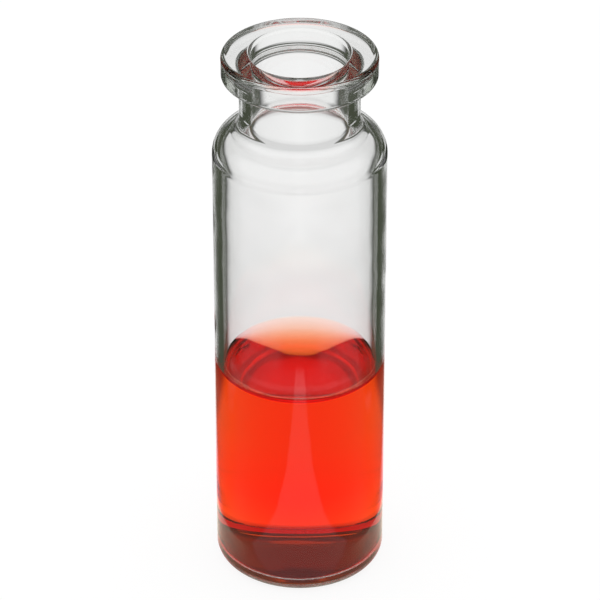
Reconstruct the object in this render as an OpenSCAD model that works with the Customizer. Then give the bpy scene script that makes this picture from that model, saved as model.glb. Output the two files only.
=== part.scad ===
// Open crimp-top sample vial of clear tubing glass, part filled with a red liquid.
// The vial is one piece of glass, so its whole wall is one closed section turned about the Z axis.
// The liquid is a second solid that fills the bottom of the cavity and climbs the wall in a meniscus.
// Millimetres, +Z up, origin at the centre of the resting face.

/* [Body] */
// Outside diameter of the body
body_d = 22.5; // [20:0.5:25]
// Height from the resting face to the top of the mouth
total_h = 76; // [60:1:90]
// Thickness of the body wall
wall_t = 1.15; // [0.8:0.05:1.6]
// Radius of the round shoulder, on the outside
shoulder_r = 3.6; // [2.5:0.1:4.5]

/* [Base] */
// Height of the cavity floor above the resting face
base_t = 1.2; // [0.9:0.1:2.5]
// Radius of the heel, where the body turns into the base
heel_r = 1.75; // [1:0.25:3]
// Radius inside, where the wall turns into the cavity floor
corner_r = 1.4; // [0.6:0.1:2.5]
// Width of the flat ring that the vial stands on
foot_w = 1.3; // [0.8:0.1:3]
// Depth of the shallow hollow under the base
punt_h = 0.3; // [0.1:0.05:0.6]

/* [Neck] */
// Outside diameter of the neck
neck_d = 15.5; // [15:0.25:17]
// Length of the straight neck between the shoulder and the crimp flange
neck_l = 6; // [3:0.1:9]
// Diameter of the bore, from the mouth down to the shoulder
bore_d = 12.5; // [8:0.5:13]
// Radius of the hollow curve from the shoulder into the neck, on the outside
neck_fillet_r = 1.5; // [0.8:0.1:3]
// Radius of the curve from the cavity's shoulder into the bore, on the inside
bore_fillet_r = 4; // [2:0.25:5]

/* [Crimp flange] */
// Diameter of the flange that a cap is crimped on
flange_d = 20; // [19:0.25:22]
// Height of the flange
flange_h = 3.5; // [3:0.1:5]
// Radius of the flange's upper outer edge
flange_top_r = 0.7; // [0.3:0.1:1.2]
// Radius of the flange's lower outer edge
flange_under_r = 0.8; // [0.3:0.1:1.2]
// Radius in the corner between the flange and the neck
under_fillet_r = 0.5; // [0.2:0.1:1]
// Radius of the mouth's inner edge
lip_r = 0.5; // [0.2:0.1:1]

/* [Liquid] */
// Level of the liquid above the resting face, away from the wall
fill_h = 28; // [8:0.5:40]
// Capillary length of the liquid, which sets how far in from the wall the meniscus reaches
capillary_l = 2.85; // [1.5:0.05:4]
// Angle at which the liquid meets the glass
contact_angle = 32; // [10:1:80]
// Clearance between the liquid and the glass that it wets
wetting_gap = 0.02; // [0.01:0.01:0.05]

/* [Hidden] */

// Largest angle between neighbouring points of a drawn arc
arc_step = 9;
// Number of stretches that the meniscus is drawn with
meniscus_steps = 18;
// Sides of the turned shapes
$fn = 128;

body_r = body_d / 2;
cavity_r = body_r - wall_t;
neck_r = neck_d / 2;
bore_r = bore_d / 2;
flange_r = flange_d / 2;
flange_z = total_h - flange_h;
punt_r = body_r - heel_r - foot_w;

// The cavity's shoulder runs beside the outer one
inner_shoulder_r = shoulder_r - wall_t;
outer_turn = turn_angle(body_r - neck_r, shoulder_r + neck_fillet_r);
inner_turn = turn_angle(cavity_r - bore_r, inner_shoulder_r + bore_fillet_r);
neck_z = flange_z - neck_l;
shoulder_z = neck_z - (shoulder_r + neck_fillet_r) * sin(outer_turn);
inner_neck_z = shoulder_z + (inner_shoulder_r + bore_fillet_r) * sin(inner_turn);

// Angle through which two opposite arcs turn to step in by step_in, at most a quarter turn
function turn_angle(step_in, radii) = step_in < radii ? acos(1 - step_in / radii) : 90;

// Points of the arc about [x, z] with radius r, from angle a to angle b
function arc(x, z, r, a, b) =
    let (n = ceil(abs(b - a) / arc_step))
    [for (i = [0:n]) [x + r * cos(a + (b - a) * i / n), z + r * sin(a + (b - a) * i / n)]];

// Points of the shallow dome under the base, from the axis out to the foot ring
function punt_points() =
    let (r = (punt_r ^ 2 + punt_h ^ 2) / (2 * punt_h))
    arc(0, punt_h - r, r, 90, acos(punt_r / r));

// Outside of the glass, from the axis under the base up to the flange's upper edge
function outer_points() = concat(
    punt_points(),
    arc(body_r - heel_r, heel_r, heel_r, -90, 0),
    arc(body_r - shoulder_r, shoulder_z, shoulder_r, 0, outer_turn),
    arc(neck_r + neck_fillet_r, neck_z, neck_fillet_r, 180 + outer_turn, 180),
    arc(neck_r + under_fillet_r, flange_z - under_fillet_r, under_fillet_r, 180, 90),
    arc(flange_r - flange_under_r, flange_z + flange_under_r, flange_under_r, -90, 0),
    arc(flange_r - flange_top_r, total_h - flange_top_r, flange_top_r, 0, 90));

// Inside of the glass, from the mouth down to the middle of the cavity floor
function inner_points() = concat(
    arc(bore_r + lip_r, total_h - lip_r, lip_r, 90, 180),
    arc(bore_r + bore_fillet_r, inner_neck_z, bore_fillet_r, 180, 180 + inner_turn),
    arc(cavity_r - inner_shoulder_r, shoulder_z, inner_shoulder_r, inner_turn, 0),
    arc(cavity_r - corner_r, base_t + corner_r, corner_r, 0, -90),
    [[0, base_t]]);

// The meniscus is the free surface of a liquid at a wall. At slope angle s it is 2 L sin(s / 2) above
// the level, and meniscus_run(s) from the plane of the wall, where L is the capillary length.
wall_slope = 90 - contact_angle;
function meniscus_reach(s) = capillary_l * (-ln(tan(s / 4)) - 2 * cos(s / 2));
function meniscus_run(s) = meniscus_reach(s) - meniscus_reach(wall_slope);
// Far from the wall the rise dies away with distance x as an exponential
function far_rise(x) = 4 * capillary_l * exp(-2 - (x + meniscus_reach(wall_slope)) / capillary_l);

// Points of the liquid's top from the wall to the axis, for a liquid of radius r.
// The rise of the opposite wall is added, which makes the surface level at the axis.
function meniscus_points(r) =
    let (least_slope = far_rise(r) / capillary_l * 180 / PI)
    [for (i = [0:meniscus_steps])
        let (s = wall_slope * (least_slope / wall_slope) ^ (i / meniscus_steps))
        let (x = i < meniscus_steps ? meniscus_run(s) : r)
        [r - x, fill_h + 2 * capillary_l * sin(s / 2) + far_rise(2 * r - x)]];

module glass_vial() {
    color("honeydew", 0.35)
        rotate_extrude()
            polygon(concat(outer_points(), inner_points()));
}

module red_liquid() {
    liquid_r = cavity_r - wetting_gap;
    color("orangered", 0.8)
        rotate_extrude()
            polygon(concat(
                [[0, base_t + wetting_gap]],
                arc(cavity_r - corner_r, base_t + corner_r, corner_r - wetting_gap, -90, 0),
                meniscus_points(liquid_r)));
}

glass_vial();
red_liquid();
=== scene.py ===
# Looks of an open crimp-top sample vial of clear glass, part filled with a red liquid.
# The glass and the liquid are fine turned surfaces that stand for the two CAD solids.
# Light bends through them as through the real thing. What it meets, the paper under the vial with its glow
# and shadow painted on and the studio round it, is drawn as patterns of light.
import math

import bpy
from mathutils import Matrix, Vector


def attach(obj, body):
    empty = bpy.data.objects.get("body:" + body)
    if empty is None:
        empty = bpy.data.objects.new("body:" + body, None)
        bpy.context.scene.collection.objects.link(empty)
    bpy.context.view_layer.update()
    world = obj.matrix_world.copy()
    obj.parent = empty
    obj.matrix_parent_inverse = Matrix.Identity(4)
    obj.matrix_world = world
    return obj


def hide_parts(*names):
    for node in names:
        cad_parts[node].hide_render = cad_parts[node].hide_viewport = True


MM = 0.001
MICRON = 1e-6

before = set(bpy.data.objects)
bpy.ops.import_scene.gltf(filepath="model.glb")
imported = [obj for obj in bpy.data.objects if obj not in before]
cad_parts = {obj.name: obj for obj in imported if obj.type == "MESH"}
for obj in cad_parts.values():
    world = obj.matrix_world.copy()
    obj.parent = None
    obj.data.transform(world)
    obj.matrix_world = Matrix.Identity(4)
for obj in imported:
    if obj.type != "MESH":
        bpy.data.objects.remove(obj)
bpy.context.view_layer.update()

# ---------------------------------------------------------------- sizes, in millimetres, as in the CAD
BODY_R = 11.25
TOTAL_H = 76.0
WALL_T = 1.15
SHOULDER_R = 3.6
BASE_T = 1.2
HEEL_R = 1.75
CORNER_R = 1.4
FOOT_W = 1.3
PUNT_H = 0.3
NECK_R = 7.75
NECK_L = 6.0
BORE_R = 6.25
NECK_FILLET_R = 1.5
BORE_FILLET_R = 4.0
FLANGE_R = 10.0
FLANGE_H = 3.5
FLANGE_TOP_R = 0.7
FLANGE_UNDER_R = 0.8
UNDER_FILLET_R = 0.5
LIP_R = 0.5
FILL_H = 28.0
CAPILLARY_L = 2.85
CONTACT_ANGLE = math.radians(32)
WETTING_GAP = 0.02

CAVITY_R = BODY_R - WALL_T
LIQUID_R = CAVITY_R - WETTING_GAP
FLANGE_Z = TOTAL_H - FLANGE_H
PUNT_R = BODY_R - HEEL_R - FOOT_W
INNER_SHOULDER_R = SHOULDER_R - WALL_T
OUTER_TURN = math.acos(1 - (BODY_R - NECK_R) / (SHOULDER_R + NECK_FILLET_R))
INNER_TURN = math.acos(1 - (CAVITY_R - BORE_R) / (INNER_SHOULDER_R + BORE_FILLET_R))
NECK_Z = FLANGE_Z - NECK_L
SHOULDER_Z = NECK_Z - (SHOULDER_R + NECK_FILLET_R) * math.sin(OUTER_TURN)
INNER_NECK_Z = SHOULDER_Z + (INNER_SHOULDER_R + BORE_FILLET_R) * math.sin(INNER_TURN)

# Index of refraction of the glass and of the watery liquid. Where the two touch, the glass's own face has
# the ratio of them and the liquid's face bends nothing
GLASS_IOR = 1.50
LIQUID_IOR = 1.333
NO_BEND = 1.0

# How finely the surfaces are drawn: sides of a turned piece, degrees of an arc and of the shallow dome
# under the base, and stretches of the meniscus
TURN_STEPS = 320
ARC_STEP = 3.0
DOME_STEP = 0.5
MENISCUS_STEPS = 72

# Points closer than this are one point
SAME_POINT = 1e-6


# ---------------------------------------------------------------- turned surfaces
# A profile is a list of stretches. Each stretch is a list of (x, z, slope) in the half plane, where slope
# is the direction of the outward normal in radians, and the refractive index there against what it touches.
def arc(x, z, r, a, b, ior, hollow=False, step=ARC_STEP):
    """The arc about (x, z) from angle a to b in degrees. A hollow arc's normals point at its centre."""
    n = max(2, math.ceil(abs(b - a) / step))
    stretch = []
    for i in range(n + 1):
        t = math.radians(a + (b - a) * i / n)
        stretch.append((x + r * math.cos(t), z + r * math.sin(t), t + (math.pi if hollow else 0)))
    return stretch, ior


def line(x0, z0, x1, z1, ior):
    """The straight stretch between two points, with the outward normal on its right."""
    t = math.atan2(z1 - z0, x1 - x0) - math.pi / 2
    return [(x0, z0, t), (x1, z1, t)], ior


def turned(name, stretches, steps=TURN_STEPS):
    """A mesh turned about the Z axis, with exact normals. Where the stretches run from axis to axis, it is
    closed."""
    verts, faces, iors, normals = [], [], [], []
    rings = {}

    def ring(x, z):
        key = (round(x, 6), round(z, 6))
        if key not in rings:
            first = len(verts)
            if x < SAME_POINT:
                verts.append((0, 0, z * MM))
                rings[key] = [first] * (steps + 1)
            else:
                for i in range(steps):
                    a = 2 * math.pi * i / steps
                    verts.append((x * MM * math.cos(a), x * MM * math.sin(a), z * MM))
                rings[key] = [first + i for i in range(steps)] + [first]
        return rings[key]

    for stretch, ior in stretches:
        for (x0, z0, t0), (x1, z1, t1) in zip(stretch, stretch[1:]):
            low, high = ring(x0, z0), ring(x1, z1)
            if low is high:
                continue
            for i in range(steps):
                corners = [(low, i, t0), (low, i + 1, t0), (high, i + 1, t1), (high, i, t1)]
                face = []
                for which, k, t in corners:
                    if which[k] in face:
                        continue
                    face.append(which[k])
                    # On the axis a ring is one point, and its normal leans to the middle of the face
                    a = 2 * math.pi * (i + 0.5 if which[0] == which[1] else k) / steps
                    normals.append((math.cos(t) * math.cos(a), math.cos(t) * math.sin(a), math.sin(t)))
                faces.append(face)
                iors.append(ior)
    mesh = bpy.data.meshes.new(name)
    mesh.from_pydata(verts, [], faces)
    mesh.attributes.new("skin_ior", "FLOAT", "FACE").data.foreach_set("value", iors)
    mesh.polygons.foreach_set("use_smooth", [True] * len(faces))
    mesh.normals_split_custom_set(normals)
    mesh.validate(clean_customdata=False)
    made = bpy.data.objects.new(name, mesh)
    bpy.context.collection.objects.link(made)
    return made


def joined(*stretches):
    """The stretches with a straight one before each that doesn't start where the last one ends."""
    whole = [stretches[0]]
    for stretch, ior in stretches[1:]:
        x0, z0, _ = whole[-1][0][-1]
        x1, z1, _ = stretch[0]
        if math.hypot(x1 - x0, z1 - z0) > SAME_POINT:
            whole.append(line(x0, z0, x1, z1, ior))
        whole.append((stretch, ior))
    return whole


# ---------------------------------------------------------------- the meniscus
WALL_SLOPE = math.pi / 2 - CONTACT_ANGLE


def meniscus_reach(s):
    """How far out the surface has the slope s, up to a constant."""
    return CAPILLARY_L * (-math.log(math.tan(s / 4)) - 2 * math.cos(s / 2))


def far_rise(x):
    """How far the surface still stands above the level at the distance x from a wall."""
    return 4 * CAPILLARY_L * math.exp(-2 - (x + meniscus_reach(WALL_SLOPE)) / CAPILLARY_L)


def meniscus(r, steps=MENISCUS_STEPS):
    """The liquid's free surface from the wall to the axis. The rise of the opposite wall is added, which
    makes the surface level at the axis."""
    least = far_rise(r) / CAPILLARY_L
    stretch = []
    for i in range(steps + 1):
        s = WALL_SLOPE * (least / WALL_SLOPE) ** (i / steps)
        x = meniscus_reach(s) - meniscus_reach(WALL_SLOPE) if i < steps else r
        z = FILL_H + 2 * CAPILLARY_L * math.sin(s / 2) + far_rise(2 * r - x)
        tilt = s - far_rise(2 * r - x) / CAPILLARY_L
        stretch.append((r - x, z, math.pi / 2 + max(tilt, 0.0)))
    return stretch


CONTACT_Z = meniscus(LIQUID_R)[0][1]


# ---------------------------------------------------------------- the two pieces
def glass_profile():
    """The glass from the middle of its underside, over the outside and down the inside to its floor."""
    punt_ball = (PUNT_R ** 2 + PUNT_H ** 2) / (2 * PUNT_H)
    punt_edge = math.degrees(math.acos(PUNT_R / punt_ball))
    turn, inner_turn = math.degrees(OUTER_TURN), math.degrees(INNER_TURN)
    dry, wet = GLASS_IOR, GLASS_IOR / LIQUID_IOR
    return joined(
        arc(0, PUNT_H - punt_ball, punt_ball, 90, punt_edge, dry, hollow=True, step=DOME_STEP),
        arc(BODY_R - HEEL_R, HEEL_R, HEEL_R, -90, 0, dry),
        arc(BODY_R - SHOULDER_R, SHOULDER_Z, SHOULDER_R, 0, turn, dry),
        arc(NECK_R + NECK_FILLET_R, NECK_Z, NECK_FILLET_R, 180 + turn, 180, dry, hollow=True),
        arc(NECK_R + UNDER_FILLET_R, FLANGE_Z - UNDER_FILLET_R, UNDER_FILLET_R, 180, 90, dry, hollow=True),
        arc(FLANGE_R - FLANGE_UNDER_R, FLANGE_Z + FLANGE_UNDER_R, FLANGE_UNDER_R, -90, 0, dry),
        arc(FLANGE_R - FLANGE_TOP_R, TOTAL_H - FLANGE_TOP_R, FLANGE_TOP_R, 0, 90, dry),
        arc(BORE_R + LIP_R, TOTAL_H - LIP_R, LIP_R, 90, 180, dry),
        arc(BORE_R + BORE_FILLET_R, INNER_NECK_Z, BORE_FILLET_R, 180, 180 + inner_turn, dry),
        arc(CAVITY_R - INNER_SHOULDER_R, SHOULDER_Z, INNER_SHOULDER_R, inner_turn, 0, dry, hollow=True),
        ([(CAVITY_R, CONTACT_Z, math.pi)] * 2, dry),
        arc(CAVITY_R - CORNER_R, BASE_T + CORNER_R, CORNER_R, 0, -90, wet, hollow=True),
        ([(0.0, BASE_T, math.pi / 2)] * 2, wet),
    )


def liquid_profile():
    """The liquid from the middle of its underside, up beside the wall and over the meniscus."""
    inset = CORNER_R - WETTING_GAP
    return joined(
        ([(0.0, BASE_T + WETTING_GAP, -math.pi / 2)] * 2, NO_BEND),
        arc(CAVITY_R - CORNER_R, BASE_T + CORNER_R, inset, -90, 0, NO_BEND),
        ([(LIQUID_R, CONTACT_Z, 0.0)] * 2, NO_BEND),
        (meniscus(LIQUID_R), LIQUID_IOR),
    )


# ---------------------------------------------------------------- nodes
WHITE = "ffffff"


def hex_colour(code):
    """The linear colour of a colour written as sRGB hex."""
    parts = [int(code[i:i + 2], 16) / 255 for i in (0, 2, 4)]
    return [c / 12.92 if c <= 0.04045 else ((c + 0.055) / 1.055) ** 2.4 for c in parts] + [1.0]


def add(tree, kind, inputs=(), output=0, **settings):
    """An output of a new node of that kind. Each input is a value, or another node's output to link."""
    made = tree.nodes.new("ShaderNode" + kind)
    for name, value in settings.items():
        setattr(made, name, value)
    for key, value in (inputs.items() if isinstance(inputs, dict) else enumerate(inputs)):
        if isinstance(value, bpy.types.NodeSocket):
            tree.links.new(value, made.inputs[key])
        else:
            made.inputs[key].default_value = value
    return made.outputs[output] if made.outputs else None


def graded(tree, value, *stops):
    """A straight-line grade through (value, level) stops, flat beyond both ends. A level is a grey as a
    number or a colour as hex."""
    first, last = stops[0][0], stops[-1][0]
    share = add(tree, "MapRange", {"Value": value, "From Min": first, "From Max": last})
    made = add(tree, "ValToRGB", {"Fac": share})
    ends = made.node.color_ramp.elements
    ends.remove(ends[-1])
    for at, level in stops:
        end = ends[0] if at == first else ends.new((at - first) / (last - first))
        end.color = hex_colour(level) if isinstance(level, str) else (level, level, level, 1)
    return made


def patch(tree, level, *fades):
    """A patch of that level that fades out smoothly. Each fade is a value, where the patch is full and where
    it is gone."""
    for value, full, gone in fades:
        share = add(tree, "MapRange", {"Value": value, "From Min": full, "From Max": gone, "To Min": 1.0,
                                       "To Max": 0.0}, interpolation_type="SMOOTHSTEP")
        level = add(tree, "Math", (share, level), operation="MULTIPLY")
    return level


def brightest(tree, *values):
    """The largest of the values."""
    whole = values[0]
    for value in values[1:]:
        whole = add(tree, "Math", (whole, value), operation="MAXIMUM")
    return whole


def place(tree):
    """The place on a piece in millimetres."""
    where = add(tree, "TexCoord", output="Object")
    return add(tree, "VectorMath", {0: where, "Scale": 1 / MM}, operation="SCALE")


def from_axis(tree, where):
    """The distance of a place from the vial's axis."""
    across = add(tree, "VectorMath", (where, (1, 1, 0)), operation="MULTIPLY")
    return add(tree, "VectorMath", (across,), "Value", operation="LENGTH")


# ---------------------------------------------------------------- glass and liquid
# Tints: for each metre of its way in a body, light dies away by (1 - tint) times the density
GLASS_TINT = "e5e8e3"
GLASS_DENSITY = 50.0
LIQUID_TINT = "fecd3f"
LIQUID_DENSITY = 400.0

# The lines that the drawing leaves along the glass and the swells that the flame leaves: their size and
# depth. Real ones are finer and shallower, and these are as coarse as they need to be to show
DRAW_LINE_W = 2.2
DRAW_LINE_L = 60.0
DRAW_LINE_MICRONS = 8.0
SWELL_W = 4.5
SWELL_MICRONS = 90.0

# How deep the swells are on the base, on the shoulder and neck and on the plain body, and the heights where
# the first two are full and gone
BASE_SHARE = 1.0
BASE_FADE = 4, 12
TOP_SHARE = 0.55
TOP_FADE = 64, 54
BODY_SHARE = 0.25

# Spacing and height of the ripples on the liquid
RIPPLE_W = 1.6
RIPPLE_MICRONS = 0.6


def new_material(name):
    made = bpy.data.materials.new(name)
    made.use_nodes = True
    made.node_tree.nodes.clear()
    return made


def waves(tree, where, across, along):
    """Soft swells, 0 to 1, of that size in millimetres across the axis and along it."""
    stretch = (1 / across, 1 / across, 1 / along)
    stretched = add(tree, "VectorMath", (where, stretch), operation="MULTIPLY")
    return add(tree, "TexNoise", {"Vector": stretched, "Scale": 1.0, "Detail": 0.0})


def clear_body(tree, height, microns, tint, density):
    """A clear body: what it mirrors and bends comes from its index, and its tint from the length of the way
    in it. Where it touches the other body, its index is the ratio of the two, so light bends once there and
    not twice."""
    ratio = add(tree, "Attribute", output="Fac", attribute_name="skin_ior")
    relief = add(tree, "Bump", {"Height": height, "Strength": 1.0, "Distance": microns * MICRON})
    skin = add(tree, "BsdfPrincipled", {"Base Color": hex_colour(WHITE), "Roughness": 0.0, "IOR": ratio,
                                        "Transmission Weight": 1.0, "Normal": relief})
    inside = add(tree, "VolumeAbsorption", {"Color": hex_colour(tint), "Density": density})
    add(tree, "OutputMaterial", {"Surface": skin, "Volume": inside})


def borosilicate_glass():
    """Drawn tubing with a fire polish: as glossy as water, with faint lines along it from the drawing. The
    flame-worked shoulder, neck and base have softer and deeper swells, so lines seen through them waver. The
    tint is grey with a breath of green, which shows where the wall is looked along."""
    made = new_material("borosilicate_glass")
    tree = made.node_tree
    where = place(tree)
    z = add(tree, "SeparateXYZ", (where,), "Z")
    depth = brightest(tree, patch(tree, BASE_SHARE, (z, *BASE_FADE)), patch(tree, TOP_SHARE, (z, *TOP_FADE)),
                      BODY_SHARE)
    swells = add(tree, "Math", (waves(tree, where, SWELL_W, SWELL_W), depth), operation="MULTIPLY")
    lines = waves(tree, where, DRAW_LINE_W, DRAW_LINE_L)
    height = add(tree, "Math", (lines, DRAW_LINE_MICRONS / SWELL_MICRONS, swells), operation="MULTIPLY_ADD")
    clear_body(tree, height, SWELL_MICRONS, GLASS_TINT, GLASS_DENSITY)
    return made


def red_solution():
    """A red dye in water: yellow and orange where it is thin and a deep red where it is thick. Its free
    surface has faint rings of ripples, and the sides and bottom take their shape from the glass."""
    made = new_material("red_solution")
    tree = made.node_tree
    angle = add(tree, "Math", (from_axis(tree, place(tree)), 2 * math.pi / RIPPLE_W), operation="MULTIPLY")
    rings = add(tree, "Math", (angle,), operation="SINE")
    clear_body(tree, rings, RIPPLE_MICRONS, LIQUID_TINT, LIQUID_DENSITY)
    return made


glass = turned("vial_glass", glass_profile())
glass.data.materials.append(borosilicate_glass())
liquid = turned("red_solution", liquid_profile())
liquid.data.materials.append(red_solution())

for piece, node, slot in ((glass, "glass_vial", "clear_glass"), (liquid, "red_liquid", "red_liquid")):
    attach(piece, "root")
    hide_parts(node)


# ---------------------------------------------------------------- the lit paper that the vial stands on
# What the paper gives off at each distance from the axis, as colours that PAPER_GLOW multiplies: light and
# shade painted on the paper. It is red under the vial, a painted glow of the light through the liquid, with
# a darker ring below the heel, a painted contact shadow, dimmer in front, a painted shadow of the vial, and
# brightest behind it
PAPER_GLOW = 1.4
BESIDE = ((0, "dc2820"), (3, "dc2820"), (6, "cb2820"), (11, "c54c44"), (11.8, "806e67"), (13.5, "806e67"),
          (16, "925344"), (34, "925f4c"))
BEFORE = ((0, "d72820"), (6, "be2820"), (7.3, "442020"), (8.6, "442820"), (9.5, "6a4c44"), (11, "b7afa4"),
          (13, "b2aa9e"), (18, "9b968e"), (20, "8b8279"), (34, "736a62"), (60, "676462"))
BEHIND = ((0, "dc3a35"), (3, "dc3a35"), (6, "ce3a35"), (7.6, "cb2f35"), (8.3, "af1420"), (9.6, "a42020"),
          (10.1, "95534c"), (10.8, "c19595"), (12.2, "f3c7d2"), (15, "fdb4c1"), (17.5, "faa4ac"),
          (20, "eea5a8"), (30, "e6c7ca"), (40, "e3cec6"), (55, "dcdcda"))

# BEFORE is full in front of the first of these y, and has given way to BESIDE at the second
FRONT_FADE = -10, 4

# BEHIND holds in a strip: half its width beside the vial, how much that grows for each millimetre farther
# back, and where its sides and its front end are full and gone
STRIP_HALF_W = 16.9
STRIP_SPREAD = 0.155
STRIP_SIDES = -3.4, 3.4
STRIP_FRONT_END = 0, -9

# The wedge of light in front, a painted caustic that the vial gathers like a lens, in the same way
WEDGE_HALF_W = 18.7
WEDGE_SPREAD = 0.187
WEDGE_SIDES = -0.9, 0.9
WEDGE_INNER_END = -14, -11
WEDGE_OUTER_END = 65, 69
WEDGE_LEVEL = 0.60 / PAPER_GLOW

# A pale ring of painted light lies close round the vial's sides: its colours by the angle from straight
# behind the vial, and where its edges and its ends are full and gone
RING = ((75, "dfd9cb"), (90, "d2cbba"), (105, "c7c3b3"), (120, "c0b9a7"))
RING_OUTSIDE = 18.2, 18.9
RING_INSIDE = 12.1, 11.5
RING_BACK_END = 55, 42
RING_FRONT_END = 112, 132

# Where bent and mirrored rays lose sight of the paper, and how much farther out that is in front
PAPER_RIM = 45, 53
PAPER_APRON = 16.0

# What the camera sees of the paper is mostly its own light, so the vial's shadow on it stays faint
PAPER_SHADE = "6c6c6c"
PAPER_OWN_LIGHT = 0.87

FLOOR_R = 3000.0
FLOOR_STEPS = 96


def past_side(tree, side, y, half_w, spread):
    """How far outside a strip a place lies, whose half width grows with y."""
    reach = add(tree, "Math", (y, spread, half_w), operation="MULTIPLY_ADD")
    return add(tree, "Math", (side, reach), operation="SUBTRACT")


# Light and shade painted on the paper: the liquid's glow, a caustic wedge and the vial's shadow
def painted_paper_light(tree, x, y, far, front):
    """What the paper round the vial gives off: light and shade painted on it. The light is taken to come
    from behind, so a white strip runs behind the vial, a painted glow of the red liquid lies round and under
    it with a pale ring of painted light at its sides, and a painted caustic, the wedge of light that the
    vial gathers like a lens, lies in front in the painted shadow of the vial."""
    side = add(tree, "Math", (x,), operation="ABSOLUTE")
    around = add(tree, "Math", (side, y), operation="ARCTAN2")
    around = add(tree, "Math", (around,), operation="DEGREES")
    strip = patch(tree, 1.0, (past_side(tree, side, y, STRIP_HALF_W, STRIP_SPREAD), *STRIP_SIDES),
                  (y, *STRIP_FRONT_END))
    wedge = patch(tree, WEDGE_LEVEL, (past_side(tree, side, y, WEDGE_HALF_W, WEDGE_SPREAD), *WEDGE_SIDES),
                  (y, *WEDGE_INNER_END), (far, *WEDGE_OUTER_END))
    ring = patch(tree, 1.0, (far, *RING_OUTSIDE), (far, *RING_INSIDE), (around, *RING_BACK_END),
                 (around, *RING_FRONT_END))
    paper = graded(tree, far, *BESIDE)
    for share, colour in ((front, graded(tree, far, *BEFORE)), (strip, graded(tree, far, *BEHIND)),
                          (ring, graded(tree, around, *RING))):
        paper = add(tree, "Mix", {0: share, "A": paper, "B": colour}, "Result", data_type="RGBA")
    return add(tree, "Mix", {0: 1.0, "A": paper, "B": wedge}, "Result", data_type="RGBA",
               blend_type="LIGHTEN")


def white_paper():
    """Smooth matt paper: flat white to the camera, with the vial's faint shadow on it. Bent and mirrored
    rays meet light and shade painted on the paper close round the vial, and beyond it the studio."""
    made = new_material("white_paper")
    tree = made.node_tree
    where = place(tree)
    far = from_axis(tree, where)
    x, y = add(tree, "SeparateXYZ", (where,)).node.outputs[:2]
    front = patch(tree, 1.0, (y, *FRONT_FADE))
    past_paper = add(tree, "Math", (front, -PAPER_APRON, far), operation="MULTIPLY_ADD")
    # Painted glow, caustics and shadow on the paper, which only bent and mirrored rays see
    lit = add(tree, "Emission", {"Color": painted_paper_light(tree, x, y, far, front), "Strength": PAPER_GLOW})
    bent = add(tree, "MixShader", (patch(tree, 1.0, (past_paper, *PAPER_RIM)),
                                   add(tree, "BsdfTransparent"), lit))
    shaded = add(tree, "BsdfDiffuse", {"Color": hex_colour(PAPER_SHADE)})
    own = add(tree, "Emission", {"Color": hex_colour(WHITE), "Strength": PAPER_OWN_LIGHT})
    seen = add(tree, "AddShader", (shaded, own))
    whole = add(tree, "MixShader", (add(tree, "LightPath", output="Is Camera Ray"), bent, seen))
    add(tree, "OutputMaterial", {"Surface": whole})
    return made


# ---------------------------------------------------------------- the studio
# Bent and mirrored rays meet it by direction, in degrees: turn is the angle from straight behind the vial,
# the same to both sides, and rise is the height above level.
# Each plain light has a level, and the turns and the rises where it is full and gone
LIGHTS = {
    "wall behind": (0.70, [(1, 13)], [(-22, -29), (-15.5, -12.5)]),
    "near half of the room": (0.70, [(106, 88)], [(-24, -30)]),
    "light at the feet": (0.48, [(70, 60), (86, 96)], [(-34, -33)]),
    "bench in front": (0.35, [(100, 88), (145, 165)], [(-34, -31)]),
    "window behind": (0.75, [(12, 24)], [(-6.5, -8.5), (0.5, 2.5)]),
    "windows at the sides": (0.70, [(83, 76), (97, 104)], [(-8, -11), (2, 5)]),
    "low windows between": (0.65, [(38, 31), (52, 59)], [(-25.7, -27.2), (-19.3, -17.8)]),
    "fill round them": (0.16, [(80, 70)], [(-25.7, -27.2), (-19.3, -17.8)]),
    "batten overhead": (0.34, [(7, 15)], [(19.7, 18.3), (25.3, 26.7)]),
    "glow over it": (0.14, [(25, 45)], [(20, 14), (46, 52)]),
    "skylight": (0.95, [(165, 145)], [(60.7, 59.5), (69.3, 70.5)]),
}

# The side lamp: its level by turn, and where it is full and gone
LAMP_LEVELS = (75, 0.39), (100, 0.46), (130, 0.51), (180, 0.80)
LAMP_TURN = 77, 72
LAMP_FOOT = -30.5, -32.5
LAMP_TOP = -25, -20

# The ceiling comes down lowest at the sides: its level by turn, the rise of its edge by turn and how soft
# the edge is. Far back its light grows with the rise
CEILING_LEVELS = (55, 0.0), (82, 0.80), (140, 0.82), (180, 0.42)
CEILING_EDGE = (50, 20.0), (90, 8.0)
CEILING_SOFT = 16
FAR_CEILING_LEVELS = (30, 0.0), (39, 0.18), (49, 0.24), (51, 0.28), (66, 0.40), (76, 0.90)
FAR_CEILING_TURN = 95, 60

# The white sweep that runs away behind the vial, by rise: the turn of its edge, how soft the edge is, and
# its level
SWEEP_EDGE = (-48, 60.0), (-41, 50.0), (-36.5, 25.0), (-33.5, 16.9), (-27, 15.9), (-15, 11.9)
SWEEP_SOFT = (-48, 60.0), (-41, 46.0), (-36.5, 5.0), (-33.5, 4.4), (-15, 4.4)
SWEEP_LEVELS = (-33, 0.925), (-26.5, 0.925), (-22, 0.80), (-17, 0.0)

# The ground at the vial's foot: its level by turn, and the rises where it is full and gone
GROUND_LEVELS = (0, 0.98), (40, 0.78), (90, 0.08)
GROUND_FADE = -50, -42

# Black boards, which the light of the room lifts to a dark green-grey
BOARDS = "454a3d"


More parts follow.
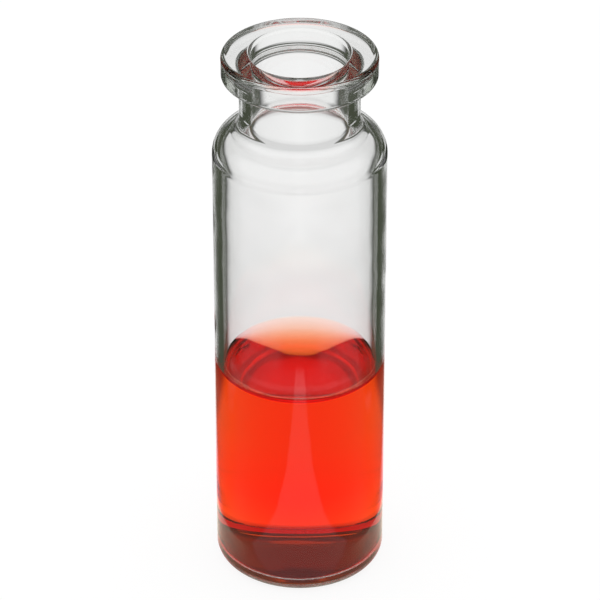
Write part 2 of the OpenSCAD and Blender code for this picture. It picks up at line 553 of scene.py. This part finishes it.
def studio(scene):
    """White all round to the camera. Bent and mirrored rays meet a white sweep that runs away behind the
    vial, black boards on both sides of it with windows, a batten and a skylight, the bright near half of the
    room and a pale ceiling."""
    world = bpy.data.worlds.new("studio")
    world.use_nodes = True
    tree = world.node_tree
    tree.nodes.clear()
    towards = add(tree, "TexCoord", output="Generated")
    x, y, z = add(tree, "SeparateXYZ", (towards,)).node.outputs
    side = add(tree, "Math", (x,), operation="ABSOLUTE")
    turn = add(tree, "Math", (side, y), operation="ARCTAN2")
    turn = add(tree, "Math", (turn,), operation="DEGREES")
    rise = add(tree, "Math", (z,), operation="ARCSINE")
    rise = add(tree, "Math", (rise,), operation="DEGREES")

    past_sweep = add(tree, "Math", (turn, graded(tree, rise, *SWEEP_EDGE)), operation="SUBTRACT")
    past_sweep = add(tree, "Math", (past_sweep, graded(tree, rise, *SWEEP_SOFT)), operation="DIVIDE")
    sweep = patch(tree, graded(tree, rise, *SWEEP_LEVELS), (past_sweep, -1, 1))
    over_edge = add(tree, "Math", (rise, graded(tree, turn, *CEILING_EDGE)), operation="SUBTRACT")
    ceiling = patch(tree, graded(tree, turn, *CEILING_LEVELS), (over_edge, CEILING_SOFT, -CEILING_SOFT))
    far_ceiling = patch(tree, graded(tree, rise, *FAR_CEILING_LEVELS), (turn, *FAR_CEILING_TURN))
    lamp = patch(tree, graded(tree, turn, *LAMP_LEVELS), (turn, *LAMP_TURN), (rise, *LAMP_FOOT),
                 (rise, *LAMP_TOP))
    lights = [patch(tree, level, *[(turn, *ends) for ends in turns], *[(rise, *ends) for ends in rises])
              for level, turns, rises in LIGHTS.values()]
    room = brightest(tree, sweep, ceiling, far_ceiling, lamp, *lights)
    upper = add(tree, "Mix", {0: 1.0, "A": hex_colour(BOARDS), "B": room}, "Result", data_type="RGBA",
                blend_type="LIGHTEN")
    lower = brightest(tree, sweep, graded(tree, turn, *GROUND_LEVELS))
    whole = add(tree, "Mix", {0: patch(tree, 1.0, (rise, *GROUND_FADE)), "A": upper, "B": lower}, "Result",
                data_type="RGBA")

    way = add(tree, "LightPath").node.outputs
    bent = brightest(tree, way["Is Transmission Ray"], way["Is Glossy Ray"])
    look = add(tree, "Mix", {0: bent, "A": hex_colour(WHITE), "B": whole}, "Result", data_type="RGBA")
    add(tree, "OutputWorld", {"Surface": add(tree, "Background", {"Color": look, "Strength": 1.0})})
    scene.world = world


# ---------------------------------------------------------------- the camera
# A long lens that looks down on the vial, at a point near its middle
CAMERA_RISE = math.radians(32.02)
CAMERA_AWAY = 463.7
AIM_X = 0.03
AIM_Z = 39.38
LENS_LENGTH = 212.39
SENSOR_W = 36.0


def set_camera(scene):
    lens = bpy.data.cameras.new("camera")
    lens.lens = LENS_LENGTH
    lens.sensor_width = SENSOR_W
    lens.clip_start = 0.01
    lens.clip_end = 50.0
    camera = bpy.data.objects.new("camera", lens)
    scene.collection.objects.link(camera)
    back = Vector((0, -math.cos(CAMERA_RISE), math.sin(CAMERA_RISE)))
    camera.location = (Vector((AIM_X, 0, AIM_Z)) + back * CAMERA_AWAY) * MM
    camera.rotation_euler = (math.pi / 2 - CAMERA_RISE, 0, 0)
    scene.camera = camera


# Light goes back and forth many times inside the flange and the base before it comes out
BOUNCES = 32
TRANSPARENT_BOUNCES = 16

scene = bpy.context.scene
floor = turned("floor", [line(FLOOR_R, 0.0, 0.0, 0.0, NO_BEND)], steps=FLOOR_STEPS)
floor.data.materials.append(white_paper())
studio(scene)
set_camera(scene)
scene.view_settings.view_transform = "Standard"
scene.cycles.max_bounces = BOUNCES
scene.cycles.transmission_bounces = BOUNCES
scene.cycles.glossy_bounces = BOUNCES
scene.cycles.transparent_max_bounces = TRANSPARENT_BOUNCES
